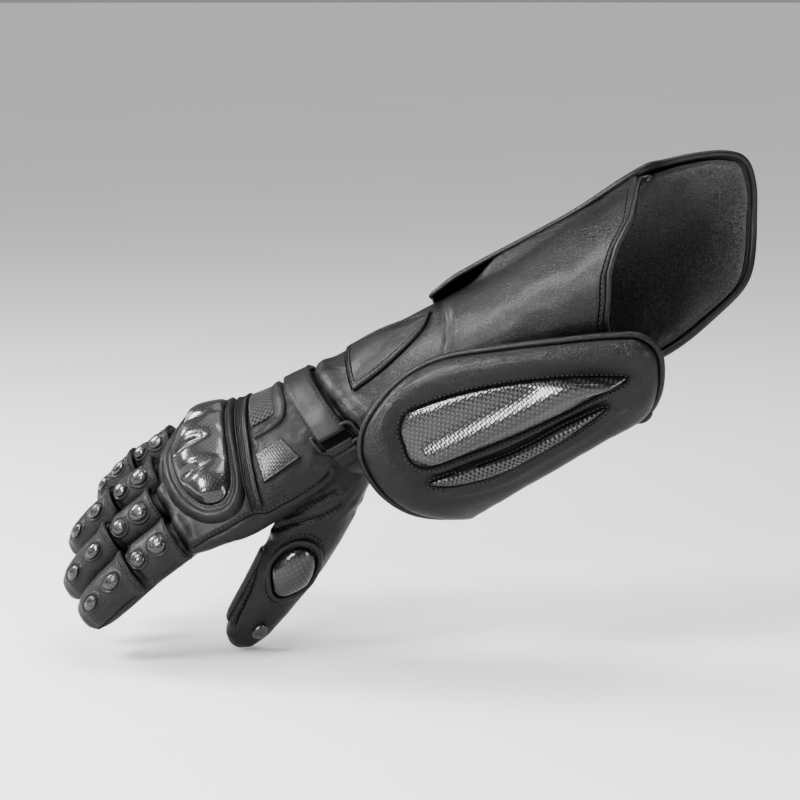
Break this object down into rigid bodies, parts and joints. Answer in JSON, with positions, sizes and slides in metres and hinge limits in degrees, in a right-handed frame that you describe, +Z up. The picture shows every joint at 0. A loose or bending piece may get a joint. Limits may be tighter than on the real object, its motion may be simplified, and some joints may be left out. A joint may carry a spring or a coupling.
{
  "type": "armoured fencing glove",
  "caption": "Black leather fencing glove for the right hand with a long cuff, hard knuckle and finger studs, a padded forearm guard with carbon inserts and a fleece-lined stiff shell",
  "frame": {"origin": "the middle of the forearm sleeve's mouth, where the arm enters", "axes": "the forearm rises 27 degrees from -X toward +X, so the fingers point to -X and down, -Y is the side with the padded forearm guard, +Z is up as the glove is shown"},
  "size_m": [0.404, 0.1281, 0.2955],
  "materials": {
    "leather": "satin grain",
    "padded_leather": "soft satin",
    "carbon": "gloss over weave",
    "knit": "matt knit",
    "fleece": "matt pile"
  },
  "bodies": {
    "root": {"hand_shell": "leather", "thumb_stall": "leather", "forearm_sleeve": "leather", "outer_shell": "leather", "shell_piping": "leather", "sleeve_piping": "leather", "guard_piping": "leather", "wrist_strap": "leather", "strap_keeper": "leather", "strap_tab": "leather", "leaf_patch": "leather", "index_stall": "leather", "middle_stall": "leather", "ring_stall": "leather", "little_stall": "leather", "side_guard": "padded_leather", "knuckle_surround": "padded_leather", "knuckle_band": "padded_leather", "vent_window": "padded_leather", "window_ridge": "padded_leather", "thumb_guard_collar": "padded_leather", "index_cap_lower": "padded_leather", "index_cap_upper": "padded_leather", "middle_cap_lower": "padded_leather", "middle_cap_upper": "padded_leather", "ring_cap_lower": "padded_leather", "ring_cap_upper": "padded_leather", "little_cap_lower": "padded_leather", "little_cap_upper": "padded_leather", "guard_insert_upper": "carbon", "guard_insert_lower": "carbon", "knuckle_guard": "carbon", "thumb_guard": "carbon", "thumb_tip_stud": "carbon", "index_stud_a": "carbon", "index_stud_b": "carbon", "index_stud_c": "carbon", "index_stud_d": "carbon", "middle_stud_a": "carbon", "middle_stud_b": "carbon", "middle_stud_c": "carbon", "middle_stud_d": "carbon", "ring_stud_a": "carbon", "ring_stud_b": "carbon", "ring_stud_c": "carbon", "ring_stud_d": "carbon", "little_stud_a": "carbon", "little_stud_b": "carbon", "little_stud_c": "carbon", "little_stud_d": "carbon", "mesh_window": "knit", "thumb_knit_strip": "knit", "fleece_lining": "fleece"}
  },
  "joints": []
}
